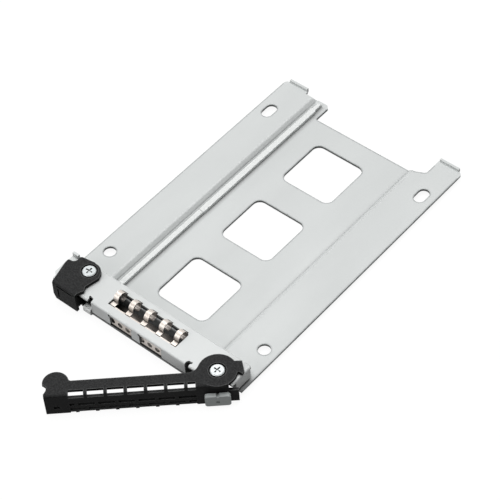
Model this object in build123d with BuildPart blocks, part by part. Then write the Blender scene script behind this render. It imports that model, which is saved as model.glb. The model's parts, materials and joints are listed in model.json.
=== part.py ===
from build123d import *
import math
import os

os.makedirs("parts", exist_ok=True)

# Drive tray for a thin 2.5 inch mobile rack, in millimetres, Z up.
# The origin is midway between the two front drive holes, on the underside of the centre panel.
# The front faces -Y and the drive lies behind the raised front bracket, on the two side wings.

# Sheet and folds
sheet = 0.8
bend = 0.5
fold = 0.6
handle_sheet = 1.0
handle_bend = 0.8

# Drive hole pattern
hole_pitch_x = 61.72
hole_pitch_y = 76.6
hole_r = 2.0
slot_length = 6.0
slot_width = 3.8

# Tray plate
hole_margin = 4.54
tray_front = -20.3
wing_rise = 1.2
jog_width = 1.3
left_wing = 12.4
right_wing = 13.8
panel_margin = 7.0
ear_margin = 14.4
right_ear_extra = 0.9
ear_width = 9.1
ear_tab_width = 7.3
ear_tab_height = 0.8
tongue_width = 5.4
window_width = 19.2
window_depth = 18.9
window_corner_r = 2.6
window_pitch = 29.7
window_first_y = 6.5
corner_cut = 4.8
corner_cut_y = -15.7

# Front bracket
bracket_back = -9.7
bracket_front = -21.0
bracket_top = 7.2
flange_bottom = 2.4
right_wall_bottom = 2.8
flange_left = -18.4
flange_right = 18.7
window_1 = (-11.0, -2.4)
window_2 = (0.8, 9.4)
relief_r = 0.5
relief_width = 1.4
right_edge_front = -18.5
wall_back_right = -10.5
wall_front_right = -16.8
wall_front_left = -18.8
opening_left = -14.0
opening_right = 12.8
opening_back = -12.3
opening_front = -18.2
foot_depth = 4.2
foot_width = 9.0
rivet_r = 1.0

# Contact strip
strip_sheet = 0.2
strip_bottom = 1.3
finger_count = 5
finger_pitch = 6.0
finger_width = 1.8
finger_first_x = -12.8
finger_flat = 2.5
finger_rise = 1.7
vent_r = 0.95
vent_pitch = 3.0
vent_z = 3.5
vent_shift = -1.0

# Pivots
lever_inset = 6.2
lever_y = -17.6
latch_inset = 9.0
latch_y = -13.1
washer_height = 0.2
face_gap = 0.05
bush_r = 1.9
bush_gap = 0.05
recess_r = 2.65
recess_depth = 0.5
screw_r = 1.25
screw_head_r = 2.15
screw_head_height = 0.65
nut_r = 1.9
nut_length = 3.0
wire_r = 0.2
coil_r = 2.25
coil_pitch = 0.5
coil_turns = 2
lever_leg = 2.0
latch_leg = 5.0

# Lever
lever_open = 42.8
face_offset = 5.3
face_bottom = 0.0
lever_end_gap = 4.8
lever_right = 3.0
tail_right = 5.8
tail_top = 5.5
tail_bottom = 0.5
hub_r = 5.8
arm_back = 0.2
nose_r = 3.85
nose_inset = 3.45
nose_n = 0.6
grille_pitch = 5.75
grille_web = 1.0
grille_inset = 7.0
grille_end = 6.4
slot_height = 1.2
light_hole_inset = 3.3

# Latch
latch_face = 9.8
latch_hub_r = 4.05
latch_bottom = 1.0
latch_right = 3.1
latch_return = 3.2
latch_return_bottom = 2.4

# Slide button
button_length = 7.5
button_height = 4.2
button_bottom = 0.7
button_proud = 1.5
button_travel = 2.0
button_middle_u = 0.35
stem_middle_u = -0.3
stem_length = 4.4
stem_height = 2.6
stem_bottom = 1.6
retainer_sheet = 0.5
slide_gap = 0.1

# Light pipe
pipe_gutter = 2.6
pipe_width = 1.9
pipe_height = 1.1
pipe_joint = 30.0
pipe_end = 1.3
pipe_step = 4.0
lens_width = 2.9
lens_front = -21.6
lens_back = -18.6
lens_top = 3.3

# Heights and places that follow
wing_top = wing_rise + sheet
hole_x = hole_pitch_x / 2
tray_half = hole_x + hole_margin
panel_back = hole_pitch_y + panel_margin
ear_back = hole_pitch_y + ear_margin
right_ear_back = ear_back + right_ear_extra
tongue_back = ear_back - 0.1
ear_inner = tray_half - ear_width
jog_left = left_wing - tray_half
jog_right = tray_half - right_wing
tongue_right = jog_left + jog_width / 2 + tongue_width
bracket_left = 0.2 - tray_half
bracket_right = tray_half - 0.8
lever_x = bracket_right - lever_inset
latch_x = bracket_left + latch_inset
lever_length = lever_x - latch_x - lever_end_gap
grille_start = lever_length - grille_inset
pipe_x = jog_left + jog_width / 2 + pipe_gutter
pipe_back = tongue_back - pipe_end
handle_under = bracket_top + washer_height + face_gap
handle_top = handle_under + handle_sheet
bush_top = handle_top - recess_depth + face_gap


foot_x = tray_half - 6.65
rivet_y = bracket_back - sheet - foot_depth / 2
rivet_places = [(side * foot_x + step, rivet_y) for side in (-1, 1) for step in (-2.75, 2.75)]


def frame_at(x, y, angle=0.0):
    """A plane at a pivot, turned about Z, with its origin on the row's zero level."""
    a = math.radians(angle)
    return Plane(origin=(x, y, 0), x_dir=(math.cos(a), math.sin(a), 0), z_dir=(0, 0, 1))


def front_of(frame, offset):
    """The upright plane of a handle's front face: X along the face, Y up, facing out."""
    return Plane(origin=frame.from_local_coords((0, -offset, 0)), x_dir=frame.x_dir, z_dir=-frame.y_dir)


lever_frame = frame_at(lever_x, lever_y, lever_open)
lever_front = front_of(lever_frame, face_offset)
latch_frame = frame_at(latch_x, latch_y)
latch_front = front_of(latch_frame, latch_face)


def box(x0, x1, y0, y1, z0, z1):
    """A block between two corners of the row frame, for use as a private solid."""
    size = Box(x1 - x0, y1 - y0, z1 - z0, align=(Align.MIN, Align.MIN, Align.MIN), mode=Mode.PRIVATE)
    return Pos(x0, y0, z0) * size


def wall_edges(part, axis, low, high):
    """Edges of a part along an axis whose centres lie inside a box."""
    return part.edges().filter_by(axis).filter_by(
        lambda e: all(a - 0.01 <= c <= b + 0.01 for a, c, b in zip(low, e.center(), high))
    )


# Tray plate: one folded sheet with raised wings, three windows and upturned ear tabs
with BuildPart() as tray_plate:
    with BuildSketch(Plane.XZ.offset(-right_ear_back)):
        with BuildLine():
            FilletPolyline(
                (-tray_half, wing_rise),
                (jog_left - jog_width / 2, wing_rise),
                (jog_left + jog_width / 2, 0),
                (jog_right - jog_width / 2, 0),
                (jog_right + jog_width / 2, wing_rise),
                (tray_half, wing_rise),
                radius=bend,
            )
            offset(amount=sheet, side=Side.LEFT)
        make_face()
    extrude(amount=right_ear_back - tray_front)
    with BuildSketch() as tray_outline:
        with BuildLine():
            Polyline(
                (tray_half - corner_cut, tray_front),
                (tray_half - corner_cut, corner_cut_y),
                (tray_half, corner_cut_y),
                (tray_half, right_ear_back),
                (ear_inner, right_ear_back),
                (ear_inner, panel_back + 1.6),
                (jog_right + jog_width, panel_back),
                (tongue_right, panel_back),
                (tongue_right, tongue_back),
                (jog_left + jog_width, tongue_back),
                (jog_left, tongue_back - 1.0),
                (-ear_inner, tongue_back - 1.0),
                (-ear_inner, ear_back),
                (-tray_half, ear_back),
                (-tray_half, tray_front),
                close=True,
            )
        make_face()
        ear_corners = tray_outline.vertices().filter_by_position(Axis.Y, ear_back - 0.1, ear_back + 0.1)
        fillet(ear_corners.sort_by(Axis.X)[0], 1.4)
        fillet(tray_outline.vertices().sort_by_distance((tray_half, right_ear_back))[0], 1.4)
        fillet(tray_outline.vertices().sort_by_distance((ear_inner, panel_back + 1.6))[0], 1.2)
        fillet(tray_outline.vertices().sort_by_distance((jog_right + jog_width, panel_back))[0], 3.0)
        fillet(tray_outline.vertices().sort_by_distance((tongue_right, panel_back))[0], 0.5)
        chamfer(tray_outline.vertices().sort_by_distance((tongue_right, tongue_back))[0], 1.1)
        with Locations(*[(0, window_first_y + i * window_pitch) for i in range(3)]):
            RectangleRounded(window_width, window_depth, window_corner_r, mode=Mode.SUBTRACT)
        with Locations((-hole_x, 0), (hole_x, 0)):
            Circle(hole_r, mode=Mode.SUBTRACT)
        with Locations((-hole_x, hole_pitch_y), (hole_x, hole_pitch_y)):
            SlotOverall(slot_length, slot_width, rotation=90, mode=Mode.SUBTRACT)
        with Locations(*rivet_places):
            Circle(rivet_r, mode=Mode.SUBTRACT)
    extrude(amount=2 * wing_top, mode=Mode.INTERSECT)
    for side, back in ((-1, ear_back), (1, right_ear_back)):
        ear_tab_x = side * (tray_half - ear_width / 2 - 0.6)
        with BuildSketch(Plane.YZ.offset(ear_tab_x - ear_tab_width / 2)):
            with BuildLine():
                Polyline(
                    (back - 0.4, wing_rise),
                    (back + sheet, wing_rise),
                    (back + sheet, wing_top + ear_tab_height),
                    (back, wing_top + ear_tab_height),
                    (back, wing_top),
                    (back - 0.4, wing_top),
                    close=True,
                )
            make_face()
        extrude(amount=ear_tab_width)
        low = (ear_tab_x - 1, back + sheet, wing_rise)
        high = (ear_tab_x + 1, back + sheet, wing_rise)
        fillet(wall_edges(tray_plate, Axis.X, low, high), bend)
tray_plate.part.label = "tray_plate"
export_step(tray_plate.part, "parts/tray_plate.step")


# Front bracket: one folded sheet with a top, side walls, back wall, feet and three front tabs
with BuildPart() as front_bracket:
    with BuildSketch(Plane.XY.offset(bracket_top - sheet)):
        with BuildLine():
            Polyline(
                (bracket_left, bracket_back),
                (bracket_left, wall_front_left),
                (bracket_left + 1.2, wall_front_left - 1.0),
                (bracket_left + 1.2, bracket_front),
                (lever_x, bracket_front),
                (lever_x, right_edge_front),
                (bracket_right, right_edge_front),
                (bracket_right, bracket_back),
                close=True,
            )
        make_face()
        with Locations((lever_x, lever_y)):
            Circle(face_offset - handle_sheet - 0.3)
        with Locations((lever_x, lever_y), (latch_x, latch_y)):
            Circle(screw_r + bush_gap, mode=Mode.SUBTRACT)
    extrude(amount=sheet)
    # Front flange, back wall, side walls and feet
    add(box(flange_left, flange_right, bracket_front, bracket_front + sheet, flange_bottom, bracket_top))
    back_wall_front = bracket_back - sheet
    add(box(bracket_left + 1.8, bracket_right - 1.2, back_wall_front, bracket_back, wing_top, bracket_top))
    add(box(bracket_left, bracket_left + sheet, wall_front_left, bracket_back - 0.6, wing_top, bracket_top))
    right_wall = (bracket_right - sheet, bracket_right)
    add(box(*right_wall, wall_front_right, wall_back_right, right_wall_bottom, bracket_top))
    for side in (-1, 1):
        foot_left = side * foot_x - foot_width / 2
        foot_front = bracket_back - sheet - foot_depth
        add(box(foot_left, foot_left + foot_width, foot_front, bracket_back, wing_top, wing_top + sheet))
    # Stop lug for the latch
    lug_front = latch_y + 2.1
    lug_height = (bracket_top - sheet, handle_top + 0.1)
    add(box(bracket_left, latch_x - 6.7, lug_front, lug_front + sheet, *lug_height))
    # Outer folds
    front_fold = wall_edges(
        front_bracket,
        Axis.X,
        (flange_left, bracket_front, bracket_top),
        (flange_right, bracket_front, bracket_top),
    )
    fillet(front_fold, fold)
    back_fold = wall_edges(
        front_bracket, Axis.X, (-40, bracket_back, bracket_top), (40, bracket_back, bracket_top)
    )
    fillet(back_fold, fold)
    right_fold = wall_edges(
        front_bracket, Axis.Y, (bracket_right, -40, bracket_top), (bracket_right, 0, bracket_top)
    )
    fillet(right_fold, fold)
    # Opening for the contact fingers
    with BuildSketch(Plane.XY.offset(bracket_top - 2 * sheet)):
        with Locations(((opening_left + opening_right) / 2, (opening_back + opening_front) / 2)):
            Rectangle(opening_right - opening_left, opening_back - opening_front)
        for i in range(finger_count):
            with Locations((finger_first_x + i * finger_pitch, opening_back + 0.2)):
                Rectangle(finger_width + 0.4, 0.8)
    extrude(amount=3 * sheet, mode=Mode.SUBTRACT)
    # Windows in the flange, with round reliefs in their upper corners
    with BuildSketch(Plane.XZ.offset(-bracket_front - sheet - 0.5)):
        window_height = bracket_top - sheet - flange_bottom
        for left, right in (window_1, window_2):
            with Locations(((left + right) / 2, flange_bottom + window_height / 2 - 1)):
                Rectangle(right - left, window_height + 2)
            with Locations((left, bracket_top - sheet - 0.1), (right, bracket_top - sheet - 0.1)):
                Circle(relief_r)
    extrude(amount=2 * sheet + 1, mode=Mode.SUBTRACT)
    # Hooked reliefs at both ends of the flange
    with BuildSketch(Plane.XY.offset(bracket_top - 2 * sheet)):
        for edge, side in ((flange_left, -1), (flange_right, 1)):
            with BuildLine():
                Polyline(
                    (edge, bracket_front - 1),
                    (edge, bracket_front + 1.0),
                    (edge + side * 0.3, bracket_front + 1.6),
                    (edge + side * (relief_width + 0.4), bracket_front + 1.8),
                    (edge + side * (relief_width + 0.4), bracket_front + 1.2),
                    (edge + side * relief_width, bracket_front + 0.9),
                    (edge + side * relief_width, bracket_front - 1),
                    close=True,
                )
            make_face()
    extrude(amount=3 * sheet, mode=Mode.SUBTRACT)
    # Rivet holes in the feet
    with BuildSketch(Plane.XY.offset(wing_top)):
        with Locations(*rivet_places):
            Circle(rivet_r)
    extrude(amount=sheet, mode=Mode.SUBTRACT)
front_bracket.part.label = "front_bracket"
export_step(front_bracket.part, "parts/front_bracket.step")


# Rivets that hold the bracket's feet on the wings
with BuildPart() as bracket_rivets:
    with BuildSketch(Plane.XY.offset(wing_rise - 0.5)):
        with Locations(*rivet_places):
            Circle(rivet_r + 0.6)
    extrude(amount=0.5)
    with BuildSketch(Plane.XY.offset(wing_rise)):
        with Locations(*rivet_places):
            Circle(rivet_r)
    extrude(amount=2 * sheet)
    with BuildSketch(Plane.XY.offset(wing_top + sheet)):
        with Locations(*rivet_places):
            Circle(rivet_r + 0.5)
    extrude(amount=0.5)
bracket_rivets.part.label = "bracket_rivets"
export_step(bracket_rivets.part, "parts/bracket_rivets.step")


# Contact strip: a clip of thin spring sheet with a vented front wall and curled fingers
strip_front = bracket_front + sheet
strip_top = bracket_top - sheet
strip_left = opening_left - 0.6
strip_right = opening_right + 0.6
with BuildPart() as contact_strip:
    with BuildSketch(Plane.YZ.offset(strip_left)):
        with BuildLine():
            FilletPolyline(
                (opening_back - 0.6, strip_bottom),
                (strip_front, strip_bottom),
                (strip_front, strip_top),
                (opening_front + 0.8, strip_top),
                radius=0.7,
            )
            offset(amount=strip_sheet, side=Side.RIGHT)
        make_face()
    extrude(amount=strip_right - strip_left)
    with BuildSketch(Plane.XZ.offset(-strip_front - 1)):
        for left, right in (window_1, window_2):
            vent_middle = (left + right) / 2 + vent_shift
            with Locations(*[(vent_middle + i * vent_pitch, vent_z) for i in (-1, 0, 1)]):
                Circle(vent_r)
    extrude(amount=2, mode=Mode.SUBTRACT)
    finger_root = opening_front + 0.6
    finger_tip = opening_back - 0.1
    with BuildSketch(Plane.YZ.offset(finger_first_x - finger_width / 2)):
        with BuildLine():
            root = Line((finger_root, strip_top), (opening_front + finger_flat, strip_top))
            crown = ThreePointArc(
                root @ 1,
                ((opening_front + finger_flat + finger_tip) / 2, bracket_top + finger_rise),
                (finger_tip, bracket_top - 0.7),
            )
            ThreePointArc(
                crown @ 1,
                (finger_tip - 0.8, bracket_top - 1.7),
                (finger_tip - 1.7, bracket_top - 1.6),
            )
            offset(amount=strip_sheet, side=Side.RIGHT)
        make_face()
    finger_solids = extrude(amount=finger_width)
    for i in range(1, finger_count):
        add(Pos(i * finger_pitch, 0, 0) * finger_solids)
contact_strip.part.label = "contact_strip"
export_step(contact_strip.part, "parts/contact_strip.step")


# Light pipe in two lengths, lying in the left gutter, with a lens at the front
with BuildPart() as front_light_pipe:
    add(box(pipe_x - pipe_width / 2 + 0.1, pipe_x + pipe_width / 2 - 0.15, lens_back, pipe_joint - 0.15,
            sheet, sheet + pipe_height))
    with BuildSketch(Plane.YZ.offset(pipe_x - pipe_width / 2 - 1.0)):
        with BuildLine():
            Polyline(
                (lens_front, sheet + 0.6),
                (lens_front + 0.5, sheet),
                (lens_back, sheet),
                (lens_back, sheet + pipe_height),
                (lens_back - 1.4, lens_top),
                (lens_front + 0.4, lens_top),
                (lens_front, lens_top - 0.5),
                close=True,
            )
        make_face()
    extrude(amount=lens_width)
front_light_pipe.part.label = "front_light_pipe"
export_step(front_light_pipe.part, "parts/front_light_pipe.step")

with BuildPart() as rear_light_pipe:
    with BuildSketch(Plane.XY.offset(sheet)):
        with BuildLine():
            Polyline(
                (pipe_x - pipe_width / 2, pipe_joint),
                (pipe_x + pipe_width / 2, pipe_joint),
                (pipe_x + pipe_width / 2, pipe_back - pipe_step),
                (pipe_x + pipe_width / 2 - 0.4, pipe_back - pipe_step + 0.4),
                (pipe_x + pipe_width / 2 - 0.4, pipe_back),
                (pipe_x - pipe_width / 2 + 0.3, pipe_back),
                (pipe_x - pipe_width / 2 + 0.3, pipe_back - pipe_step + 0.4),
                (pipe_x - pipe_width / 2, pipe_back - pipe_step),
                close=True,
            )
        make_face()
    extrude(amount=pipe_height)
    tip_edges = rear_light_pipe.edges().filter_by(Axis.X).group_by(Axis.Y)[-1].sort_by(Axis.Z)
    chamfer(tip_edges[-1], 0.7)
rear_light_pipe.part.label = "rear_light_pipe"
export_step(rear_light_pipe.part, "parts/rear_light_pipe.step")


# Lever: folded sheet, drawn closed in its own frame and placed open
def grille_row(first_web, low, high):
    """Slots of one grille row between its webs, as rectangles on the lever's front plane."""
    edges = [grille_start]
    web = first_web
    while web > grille_end + 1:
        edges += [web + grille_web / 2, web - grille_web / 2]
        web -= grille_pitch
    edges.append(grille_end)
    for start, end in zip(edges[0::2], edges[1::2]):
        with Locations((-(start + end) / 2, (low + high) / 2)):
            Rectangle(start - end, high - low)


with BuildPart() as lever:
    with BuildSketch(lever_frame.offset(handle_under)) as lever_outline:
        Circle(hub_r)
        with BuildLine():
            Polyline(
                (lever_right, -face_offset),
                (lever_right, -arm_back),
                (-lever_length, -arm_back),
                (-lever_length, -face_offset),
                close=True,
            )
        make_face()
        with Locations((nose_inset - lever_length, -nose_n)):
            Circle(nose_r)
        # Tooth that pulls the tray home in the chassis
        with BuildLine():
            Polyline(
                (3.0, 0.5),
                (5.0, 2.95),
                (7.2, 2.85),
                (7.7, -0.9),
                (7.1, -1.8),
                (6.1, -0.95),
                (5.3, -1.2),
                (3.0, -1.0),
                close=True,
            )
        make_face()
        # Beak that the latch holds
        with BuildLine():
            Polyline(
                (-lever_length - 3.0, -0.9),
                (-lever_length - 0.2, -1.0),
                (-lever_length + 0.8, -1.9),
                (-lever_length + 0.7, -3.2),
                (-lever_length, -4.6),
                (-lever_length - 3.0, -4.6),
                close=True,
            )
        make_face(mode=Mode.SUBTRACT)
        fillet(lever_outline.vertices().sort_by_distance((-hub_r, -arm_back))[0], 3.5)
        nose_corner = (nose_inset - lever_length + nose_r, -arm_back)
        fillet(lever_outline.vertices().sort_by_distance(nose_corner)[0], 0.8)
        Circle(bush_r + bush_gap, mode=Mode.SUBTRACT)
    extrude(amount=handle_sheet)
    with BuildSketch(lever_front):
        with BuildLine():
            Polyline(
                (-lever_length, face_bottom),
                (lever_right, face_bottom),
                (lever_right, tail_bottom),
                (tail_right, tail_bottom),
                (tail_right, tail_top),
                (lever_right, tail_top),
                (lever_right, handle_top),
                (-lever_length, handle_top),
                close=True,
            )
        make_face()
    extrude(amount=-handle_sheet)
    fold_point = lever_frame.from_local_coords((-lever_length / 2, -face_offset, handle_top))
    fillet(lever.edges().sort_by_distance(fold_point)[0], handle_bend)
    with BuildSketch(lever_frame.offset(handle_top)):
        Circle(recess_r)
    extrude(amount=-recess_depth, mode=Mode.SUBTRACT)
    # Grille: a row over the fold, two rows in the face and an open bottom row
    web_0 = grille_start - 4.9
    web_1 = grille_start - 2.0
    with BuildSketch(lever_front.offset(0.5)):
        grille_row(web_0, 6.8, handle_top + 0.5)
    extrude(amount=-2.2, mode=Mode.SUBTRACT)
    with BuildSketch(lever_front.offset(0.5)):
        grille_row(web_1, 3.1, 3.1 + slot_height)
        grille_row(web_0, 0.95, 0.95 + slot_height)
        grille_row(web_1, face_bottom - 0.5, face_bottom + 0.4)
        with Locations((light_hole_inset - lever_length, 2.6)):
            Rectangle(1.8, slot_height)
        # Window that the button slides in
        with Locations((-stem_middle_u - button_travel / 2, stem_bottom + stem_height / 2)):
            Rectangle(stem_length + button_travel + 2 * slide_gap, stem_height + 2 * slide_gap)
    extrude(amount=-2.0, mode=Mode.SUBTRACT)
lever.part.label = "lever"
export_step(lever.part, "parts/lever.step")


# Slide button on the lever: a grip outside the face and a stem through it
with BuildPart() as slide_button:
    with BuildSketch(lever_front.offset(slide_gap)):
        with Locations((-button_middle_u, button_bottom + button_height / 2)):
            RectangleRounded(button_length, button_height, 0.9)
        with Locations((-button_middle_u, button_bottom + button_height)):
            Circle(0.45, mode=Mode.SUBTRACT)
    extrude(amount=button_proud)
    with BuildSketch(lever_front.offset(-handle_sheet - slide_gap)):
        with Locations((-stem_middle_u, stem_bottom + stem_height / 2)):
            Rectangle(stem_length, stem_height)
    extrude(amount=handle_sheet + 2 * slide_gap)
    with BuildSketch(lever_front.offset(slide_gap + button_proud)):
        with Locations((-button_middle_u, button_bottom + button_height / 2 - 0.3)):
            Triangle(a=1.3, b=1.3, c=1.3, rotation=90)
    extrude(amount=-0.25, mode=Mode.SUBTRACT)
slide_button.part.label = "slide_button"
export_step(slide_button.part, "parts/slide_button.step")

with BuildPart() as button_retainer:
    with BuildSketch(lever_front.offset(-handle_sheet - slide_gap)):
        with Locations((-stem_middle_u, stem_bottom + stem_height / 2)):
            RectangleRounded(stem_length + 1.6, stem_height + 1.2, 0.4)
    extrude(amount=-retainer_sheet)
button_retainer.part.label = "button_retainer"
export_step(button_retainer.part, "parts/button_retainer.step")


# Latch: folded sheet with a rounded hub, a beak and a bite round the stop lug
with BuildPart() as latch:
    with BuildSketch(latch_frame.offset(handle_under)) as latch_outline:
        with BuildLine():
            Polyline(
                (-5.8, 2.7),
                (-0.8, 3.5),
                (4.2, -0.1),
                (3.2, -5.2),
                (3.95, -6.45),
                (4.1, -6.7),
                (3.6, -7.6),
                (latch_right, -8.9),
                (latch_right, -latch_face),
                (-6.2, -latch_face),
                (-6.5, -8.3),
                (-8.2, -2.0),
                (-8.3, -0.3),
                (-5.9, -0.3),
                close=True,
            )
        make_face()
        with Locations((0, -0.7)):
            Circle(latch_hub_r)
        fillet(latch_outline.vertices().sort_by_distance((-5.9, -0.3))[0], 1.5)
        fillet(latch_outline.vertices().sort_by_distance((-8.3, -0.3))[0], 0.6)
        fillet(latch_outline.vertices().sort_by_distance((-5.8, 2.7))[0], 0.6)
        Circle(bush_r + bush_gap, mode=Mode.SUBTRACT)
    extrude(amount=handle_sheet)
    with BuildSketch(latch_front):
        with BuildLine():
            Polyline(
                (-6.2, handle_top),
                (-6.4, latch_bottom + 1.8),
                (-5.6, latch_bottom),
                (latch_right, latch_bottom),
                (latch_right, handle_top),
                close=True,
            )
        make_face()
    extrude(amount=-handle_sheet)
    # Side of the latch, folded back under the bracket's top
    with BuildSketch(latch_front):
        return_top = bracket_top - sheet - 0.2
        with Locations((latch_right - handle_sheet / 2, (latch_return_bottom + return_top) / 2)):
            Rectangle(handle_sheet, return_top - latch_return_bottom)
    extrude(amount=-handle_sheet - latch_return)
    latch_fold = latch_frame.from_local_coords((0, -latch_face, handle_top))
    fillet(latch.edges().sort_by_distance(latch_fold)[0], handle_bend)
    with BuildSketch(latch_frame.offset(handle_top)):
        Circle(recess_r)
    extrude(amount=-recess_depth, mode=Mode.SUBTRACT)
    # Long groove under the fold and an upright groove near the left end
    with BuildSketch(latch_front):
        with Locations((-1.4, handle_top - 1.15)):
            Rectangle(6.2, 0.7)
        with Locations((-4.1, 4.4)):
            Rectangle(0.6, 3.6)
    extrude(amount=-0.6, mode=Mode.SUBTRACT)
latch.part.label = "latch"
export_step(latch.part, "parts/latch.step")


# Pivot hardware, the same for the lever and the latch
pivots = {
    "lever": (frame_at(lever_x, lever_y), lever_leg),
    "latch": (frame_at(latch_x, latch_y), latch_leg),
}
for owner, (frame, leg) in pivots.items():
    with BuildPart() as washer:
        with BuildSketch(frame.offset(bracket_top)):
            Circle(3.4)
            Circle(bush_r + bush_gap, mode=Mode.SUBTRACT)
        extrude(amount=washer_height)
    washer.part.label = f"{owner}_washer"
    export_step(washer.part, f"parts/{owner}_washer.step")

    with BuildPart() as bush:
        with BuildSketch(frame.offset(bracket_top)):
            Circle(bush_r)
            Circle(screw_r + bush_gap, mode=Mode.SUBTRACT)
        extrude(amount=bush_top - bracket_top)
    bush.part.label = f"{owner}_bush"
    export_step(bush.part, f"parts/{owner}_bush.step")

    with BuildPart() as screw:
        with BuildSketch(frame.offset(bracket_top - sheet - nut_length + 0.3)):
            Circle(screw_r)
        extrude(amount=bush_top - bracket_top + sheet + nut_length - 0.3)
        with BuildSketch(frame.offset(bush_top)):
            Circle(screw_head_r)
        extrude(amount=screw_head_height)
        chamfer(screw.edges().group_by(Axis.Z)[-1], 0.25)
        with BuildSketch(frame.offset(bush_top + screw_head_height)):
            Rectangle(2.4, 0.5)
            Rectangle(0.5, 2.4)
        extrude(amount=-0.5, mode=Mode.SUBTRACT)
    screw.part.label = f"{owner}_screw"
    export_step(screw.part, f"parts/{owner}_screw.step")

    with BuildPart() as nut:
        with BuildSketch(frame.offset(bracket_top - sheet - nut_length)):
            Circle(nut_r)
            Circle(screw_r + bush_gap, mode=Mode.SUBTRACT)
        extrude(amount=nut_length)
    nut.part.label = f"{owner}_nut"
    export_step(nut.part, f"parts/{owner}_nut.step")

    # Torsion spring: its legs run on from the coil, to the handle's face and to the back wall
    with BuildPart() as spring:
        with BuildLine(frame.offset(bracket_top - sheet - 0.5 - coil_turns * coil_pitch)) as wire:
            coil = Helix(pitch=coil_pitch, height=coil_turns * coil_pitch, radius=coil_r)
            back_leg = bracket_back - sheet - wire_r - frame.origin.Y
            Line(coil @ 0, coil @ 0 - leg * (coil % 0))
            Line(coil @ 1, coil @ 1 + back_leg * (coil % 1))
        with BuildSketch(Plane(origin=wire.line @ 0, z_dir=wire.line % 0)):
            Rectangle(2 * wire_r, 2 * wire_r)
        sweep(path=wire.line)
    spring.part.label = f"{owner}_spring"
    export_step(spring.part, f"parts/{owner}_spring.step")
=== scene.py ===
import json
import math

import bpy
from mathutils import Matrix, Vector


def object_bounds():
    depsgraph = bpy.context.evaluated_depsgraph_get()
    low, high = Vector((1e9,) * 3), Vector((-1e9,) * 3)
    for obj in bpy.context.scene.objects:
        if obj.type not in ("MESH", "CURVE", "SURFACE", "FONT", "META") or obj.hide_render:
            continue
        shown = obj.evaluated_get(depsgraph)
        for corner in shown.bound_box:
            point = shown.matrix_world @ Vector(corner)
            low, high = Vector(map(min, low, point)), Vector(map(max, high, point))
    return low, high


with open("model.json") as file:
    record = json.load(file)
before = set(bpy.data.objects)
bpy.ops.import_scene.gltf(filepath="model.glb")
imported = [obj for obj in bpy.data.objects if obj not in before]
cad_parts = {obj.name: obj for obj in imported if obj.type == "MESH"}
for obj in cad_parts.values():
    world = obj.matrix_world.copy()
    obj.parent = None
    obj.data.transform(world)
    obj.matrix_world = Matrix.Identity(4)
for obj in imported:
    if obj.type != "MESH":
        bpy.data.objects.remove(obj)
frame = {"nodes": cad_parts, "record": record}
size_at_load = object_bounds()

# Lengths are in metres, the lens and the sensor in millimetres, and the tray's front is -Y

# Camera, solved from the tray's outline in the photo
azimuth, elevation, roll = 43.3226, 49.1301, -4.2882
target = Vector((0.0021297, 0.0275449, 0.0008))
distance = 0.56841
lens = 133.617
sensor = 36.0
nearest, farthest = 0.01, 10.0

# Materials
# Y behind which the plate gets neither painted rims nor painted shade
tabs_from = 0.0893
# Ramps of the painted highlight and shade on sharp edges, and of the painted shade on upright faces
rim_ramp = (0.80, 0.965)
upright_ramp = (0.15, 0.45)
bump_strength = 0.5
dull_paint = 0.05
see_through_range = (0.04, 0.12)

# Lights and background
light_aim = (0, 0.03, 0)
room_left, room_right = 0.52, 0.0
background_white = 1.0
floor_size = 6
floor_gap = 0.0001
floor_grey = 0.12
floor_glow = 0.92

# Sockets of the Mix node when it mixes colours
MIX_FACTOR, MIX_FIRST, MIX_SECOND, MIX_RESULT = 0, 6, 7, 2


def material(name):
    """A new node material with its shader, and a helper that adds nodes."""
    mat = bpy.data.materials.new(name)
    mat.use_nodes = True
    tree = mat.node_tree
    shader = tree.nodes["Principled BSDF"]

    def node(kind, **values):
        made = tree.nodes.new(kind)
        for key, value in values.items():
            setattr(made, key, value)
        return made

    return mat, tree, shader, node


def noise(tree, node, scale, detail, stretch):
    """Noise in the piece's own coordinates, stretched along an axis where wanted."""
    place = node("ShaderNodeTexCoord")
    mapping = node("ShaderNodeMapping")
    mapping.inputs["Scale"].default_value = stretch
    pattern = node("ShaderNodeTexNoise")
    pattern.inputs["Scale"].default_value = scale
    pattern.inputs["Detail"].default_value = detail
    tree.links.new(place.outputs["Object"], mapping.inputs["Vector"])
    tree.links.new(mapping.outputs["Vector"], pattern.inputs["Vector"])
    return pattern.outputs["Fac"]


def ramp(tree, node, value, low, high, start=0.3, end=0.7):
    """Spreads a 0 to 1 pattern between two colours or greys."""
    made = node("ShaderNodeValToRGB")
    first, last = made.color_ramp.elements
    first.position = start
    last.position = end
    first.color = (*low, 1)
    last.color = (*high, 1)
    tree.links.new(value, made.inputs["Fac"])
    return made.outputs["Color"]


def grey(value):
    return (value, value, value)


def mixed(tree, node, first, second, blend="MULTIPLY"):
    """The product of two colours or greys, or another blend of them."""
    made = node("ShaderNodeMix", data_type="RGBA", blend_type=blend)
    made.inputs[MIX_FACTOR].default_value = 1.0
    tree.links.new(first, made.inputs[MIX_FIRST])
    tree.links.new(second, made.inputs[MIX_SECOND])
    return made.outputs[MIX_RESULT]


def blend_to(tree, node, mask, first, colour):
    """Goes from one colour to a second by a mask."""
    made = node("ShaderNodeMix", data_type="RGBA")
    made.inputs[MIX_SECOND].default_value = (*colour, 1)
    tree.links.new(mask, made.inputs[MIX_FACTOR])
    tree.links.new(first, made.inputs[MIX_FIRST])
    return made.outputs[MIX_RESULT]


def hollows(tree, node, reach, darkest, start, end):
    """Shade in gaps and inner corners, from 1 in the open down to the darkest value."""
    hollow = node("ShaderNodeAmbientOcclusion", samples=16)
    hollow.inputs["Distance"].default_value = reach
    return ramp(tree, node, hollow.outputs["AO"], grey(darkest), grey(1.0), start, end)


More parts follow.
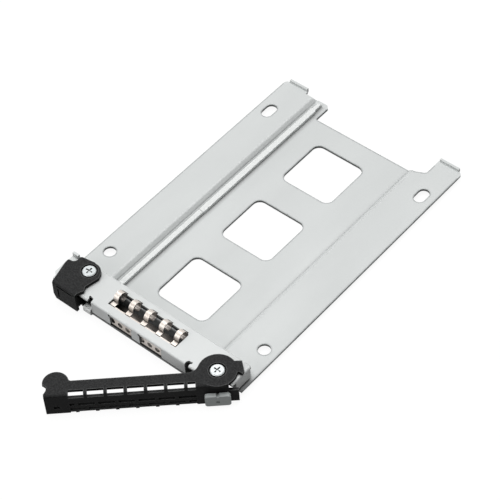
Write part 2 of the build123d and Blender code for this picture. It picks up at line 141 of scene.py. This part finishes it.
def rims(tree, node, width):
    """A mask of the sharp edges, where a rounded normal leaves the true one; the rim colour is painted
    through it, as a highlight where lighter and as shade where darker.
    """
    rounded = node("ShaderNodeBevel", samples=6)
    rounded.inputs["Radius"].default_value = width
    true_normal = node("ShaderNodeNewGeometry")
    dot = node("ShaderNodeVectorMath", operation="DOT_PRODUCT")
    tree.links.new(rounded.outputs["Normal"], dot.inputs[0])
    tree.links.new(true_normal.outputs["Normal"], dot.inputs[1])
    return ramp(tree, node, dot.outputs["Value"], grey(1.0), grey(0.0), *rim_ramp)


def upright_faces(tree, node, darkest):
    """Painted shade on upright faces, such as the sheared edges of a flat sheet."""
    place = node("ShaderNodeTexCoord")
    normal = node("ShaderNodeSeparateXYZ")
    tree.links.new(place.outputs["Normal"], normal.inputs["Vector"])
    level = node("ShaderNodeMath", operation="ABSOLUTE")
    tree.links.new(normal.outputs["Z"], level.inputs[0])
    return ramp(tree, node, level.outputs["Value"], grey(darkest), grey(1.0), *upright_ramp)


def part_of(tree, node, operation, plane):
    """1 on one side of a plane across the piece, and 0 on the other side."""
    place = node("ShaderNodeTexCoord")
    spot = node("ShaderNodeSeparateXYZ")
    tree.links.new(place.outputs["Object"], spot.inputs["Vector"])
    mask = node("ShaderNodeMath", operation=operation)
    mask.inputs[1].default_value = plane
    tree.links.new(spot.outputs["Y"], mask.inputs[0])
    return mask.outputs["Value"]


def finish(
    name, *, colours, rough, metallic, grain, relief, corner, rim, corner_ramp=(0.05, 0.75),
    rim_width=0.00015, coarse=60.0, stretch=(1, 1, 1), inside=(0.02, 0.06, 0.08, 0.45),
    upright=1.0, clean_from=None,
):
    """A surface with a slow colour drift, a varying gloss, a fine relief, painted light on its rims and
    painted shade in its corners.

    coarse and grain are the scales of the slow and the fine noise, and relief is the fine one's height.
    corner is the reach and the darkest value of the painted shade in narrow gaps and bends, and
    corner_ramp holds the two ends of its ramp. inside is the same for the painted shade of deep places,
    all in one. upright paints shade on the upright faces. Behind the last argument's Y neither the
    painted rims nor the painted shade are drawn.
    """
    mat, tree, shader, node = material(name)
    slow = noise(tree, node, coarse, 3.0, stretch)
    fine = noise(tree, node, grain, 6.0, stretch)
    colour = ramp(tree, node, slow, *colours)
    uneven = ramp(tree, node, fine, grey(0.5), grey(1.0))
    # The rim colour is painted on the sharp edges: a painted highlight where it is lighter than the
    # surface, painted shade where it is darker
    marked = mixed(tree, node, rims(tree, node, rim_width), uneven)
    # Behind the given Y the painted rims are left out
    if clean_from is not None:
        marked = mixed(tree, node, marked, part_of(tree, node, "LESS_THAN", clean_from))
    colour = blend_to(tree, node, marked, colour, rim)
    # Painted shade in gaps, bends and deep places
    dark = mixed(
        tree, node, hollows(tree, node, *corner, *corner_ramp), hollows(tree, node, *inside)
    )
    # Painted shade on the upright faces
    if upright < 1.0:
        dark = mixed(tree, node, dark, upright_faces(tree, node, upright))
    # Behind the given Y the painted shade is lifted again
    if clean_from is not None:
        clean = part_of(tree, node, "GREATER_THAN", clean_from)
        dark = mixed(tree, node, dark, clean, "LIGHTEN")
    gloss = ramp(tree, node, fine, grey(rough[0]), grey(rough[1]))
    metal = ramp(tree, node, slow, grey(metallic[0]), grey(metallic[1]))
    bump = node("ShaderNodeBump")
    bump.inputs["Distance"].default_value = relief
    bump.inputs["Strength"].default_value = bump_strength
    tree.links.new(fine, bump.inputs["Height"])
    tree.links.new(mixed(tree, node, colour, dark), shader.inputs["Base Color"])
    tree.links.new(gloss, shader.inputs["Roughness"])
    tree.links.new(metal, shader.inputs["Metallic"])
    tree.links.new(bump.outputs["Normal"], shader.inputs["Normal"])
    return mat


def zinc(name, colours, corner=(0.0006, 0.7), **changes):
    """Bright zinc plating on steel sheet."""
    return finish(
        name, colours=colours, rough=(0.38, 0.46), metallic=(0.02, 0.06), grain=900.0,
        relief=0.00002, corner=corner, stretch=(1, 0.35, 1),
        inside=(0.02, 0.04, 0.12, 0.55), **changes,
    )


# Below, a rim colour lighter than the surface is a painted highlight on the sharp edges and a darker one
# is painted shade; corner and inside give painted shade. The plate's darker upright faces are painted
# shade on its cut edges.
plate = zinc(
    "plate", ((0.635, 0.655, 0.65), (0.675, 0.695, 0.69)), rim=(0.14, 0.16, 0.16),
    rim_width=0.0012, corner=(0.0018, 0.3), corner_ramp=(0.5, 1.0), upright=0.35, clean_from=tabs_from,
)
bracket = zinc("bracket", ((0.69, 0.71, 0.705), (0.73, 0.75, 0.745)), rim=(0.76, 0.78, 0.78))
nickel = finish(
    "nickel", colours=((0.62, 0.55, 0.49), (0.76, 0.70, 0.65)), rough=(0.30, 0.40),
    metallic=(0.50, 0.60), grain=1500.0, relief=0.00001, corner=(0.003, 0.02),
    rim=(0.80, 0.78, 0.75), inside=(0.012, 0.06, 0.15, 0.75),
)
# The black's light rims are painted glints, and its upright faces get painted shade
black = finish(
    "black", colours=((0.017, 0.0173, 0.0177), (0.046, 0.0465, 0.047)), rough=(0.40, 0.60),
    metallic=(0.0, 0.02), grain=2600.0, relief=0.00006, corner=(0.0022, 0.03),
    rim=(0.16, 0.161, 0.162), rim_width=0.0006, coarse=2400.0, upright=0.3,
)
black.node_tree.nodes["Principled BSDF"].inputs["Specular IOR Level"].default_value = dull_paint
screws = finish(
    "screws", colours=((0.48, 0.51, 0.515), (0.60, 0.63, 0.635)), rough=(0.34, 0.46),
    metallic=(0.45, 0.60), grain=1800.0, relief=0.00001, corner=(0.0008, 0.05),
    rim=(0.80, 0.82, 0.82),
)
wire = finish(
    "wire", colours=((0.42, 0.42, 0.42), (0.52, 0.52, 0.52)), rough=(0.28, 0.38),
    metallic=(0.92, 1.0), grain=1200.0, relief=0.00001, corner=(0.002, 0.10),
    rim=(0.62, 0.62, 0.62),
)
grip = finish(
    "grip", colours=((0.43, 0.46, 0.455), (0.49, 0.52, 0.515)), rough=(0.50, 0.60),
    metallic=(0.0, 0.03), grain=2500.0, relief=0.00003, corner=(0.0015, 0.25),
    rim=(0.26, 0.28, 0.27),
)
clear = finish(
    "clear", colours=((0.93, 0.95, 0.94), (0.96, 0.98, 0.97)), rough=(0.10, 0.18),
    metallic=(0.0, 0.02), grain=700.0, relief=0.00001, corner=(0.0003, 0.9),
    rim=(0.97, 0.99, 0.99), inside=(0.006, 0.9, 0.08, 0.35),
)
# A part of the light goes through the clear plastic, unevenly
tree = clear.node_tree
patches = tree.nodes.new("ShaderNodeTexNoise")
amount = tree.nodes.new("ShaderNodeMapRange")
amount.inputs["To Min"].default_value = see_through_range[0]
amount.inputs["To Max"].default_value = see_through_range[1]
tree.links.new(patches.outputs["Fac"], amount.inputs["Value"])
see_through = tree.nodes["Principled BSDF"].inputs["Transmission Weight"]
tree.links.new(amount.outputs["Result"], see_through)

looks = {
    "zinc_plate": bracket,
    "contact_metal": nickel,
    "black_paint": black,
    "hardware": screws,
    "spring_wire": wire,
    "clear_plastic": clear,
    "grey_plastic": grip,
}
slot_of = {s["node"]: s["material_slot"] for s in frame["record"]["subparts"]}
for name, piece in frame["nodes"].items():
    piece.data.materials.clear()
    piece.data.materials.append(plate if name == "tray_plate" else looks[slot_of[name]])

# Camera
a, e, r = (math.radians(v) for v in (azimuth, elevation, roll))
back = Vector((math.sin(a) * math.cos(e), -math.cos(a) * math.cos(e), math.sin(e)))
level = Vector((0, 0, 1)).cross(back).normalized()
upward = back.cross(level)
right = level * math.cos(r) + upward * math.sin(r)
up = upward * math.cos(r) - level * math.sin(r)
camera = bpy.data.objects.new("camera", bpy.data.cameras.new("camera"))
bpy.context.collection.objects.link(camera)
camera.data.lens = lens
camera.data.sensor_width = sensor
camera.data.clip_start = nearest
camera.data.clip_end = farthest
turn = Matrix((right, up, back)).transposed().to_4x4()
camera.matrix_world = Matrix.Translation(target + back * distance) @ turn
bpy.context.scene.camera = camera


def lamp(name, place, width, power):
    """A square lamp that shines on the middle of the tray."""
    light = bpy.data.lights.new(name, "AREA")
    light.shape = "SQUARE"
    light.size = width
    light.energy = power
    made = bpy.data.objects.new(name, light)
    bpy.context.collection.objects.link(made)
    made.location = place
    made.rotation_mode = "QUATERNION"
    made.rotation_quaternion = (Vector(light_aim) - Vector(place)).to_track_quat("-Z", "Y")


lamp("high", (-0.15, 0.4, 1.9), 1.6, 27.5)
lamp("left", (-0.6, -1.5, 1.0), 1.0, 7.0)


def seen_directly(tree):
    """1 for camera, glossy and transmission rays, which show the background, and 0 for the rest."""
    path = tree.nodes.new("ShaderNodeLightPath")
    seen = path.outputs["Is Camera Ray"]
    for ray in ("Is Glossy Ray", "Is Transmission Ray"):
        either = tree.nodes.new("ShaderNodeMath")
        either.operation = "MAXIMUM"
        tree.links.new(seen, either.inputs[0])
        tree.links.new(path.outputs[ray], either.inputs[1])
        seen = either.outputs["Value"]
    return seen


# White world, whose light on the object is strong from the left and weak from the right
world = bpy.data.worlds.new("world")
bpy.context.scene.world = world
world.use_nodes = True
tree = world.node_tree
background = tree.nodes["Background"]
background.inputs["Color"].default_value = (1, 1, 1, 1)
direction = tree.nodes.new("ShaderNodeTexCoord")
side = tree.nodes.new("ShaderNodeSeparateXYZ")
room = tree.nodes.new("ShaderNodeMapRange")
room.inputs["From Min"].default_value = -1.0
room.inputs["To Min"].default_value = room_left
room.inputs["To Max"].default_value = room_right
tree.links.new(direction.outputs["Generated"], side.inputs["Vector"])
tree.links.new(side.outputs["X"], room.inputs["Value"])
strength = tree.nodes.new("ShaderNodeMix")
strength.inputs["B"].default_value = background_white
tree.links.new(room.outputs["Result"], strength.inputs["A"])
tree.links.new(seen_directly(tree), strength.inputs["Factor"])
tree.links.new(strength.outputs["Result"], background.inputs["Strength"])

# White floor just under the tray, which keeps its shadow
lowest = size_at_load[0].z
bpy.ops.mesh.primitive_plane_add(size=floor_size, location=(0, 0, lowest - floor_gap))
floor = bpy.context.object
floor.name = "floor"
mat, tree, shader, node = material("floor")
shader.inputs["Base Color"].default_value = (*grey(floor_grey), 1)
shader.inputs["Roughness"].default_value = 0.9
shader.inputs["Specular IOR Level"].default_value = 0.0
shader.inputs["Emission Color"].default_value = (1, 1, 1, 1)
glow = node("ShaderNodeMath", operation="MULTIPLY")
glow.inputs[1].default_value = floor_glow
tree.links.new(seen_directly(tree), glow.inputs[0])
tree.links.new(glow.outputs["Value"], shader.inputs["Emission Strength"])
floor.data.materials.append(mat)

scene = bpy.context.scene
scene.view_settings.view_transform = "Standard"
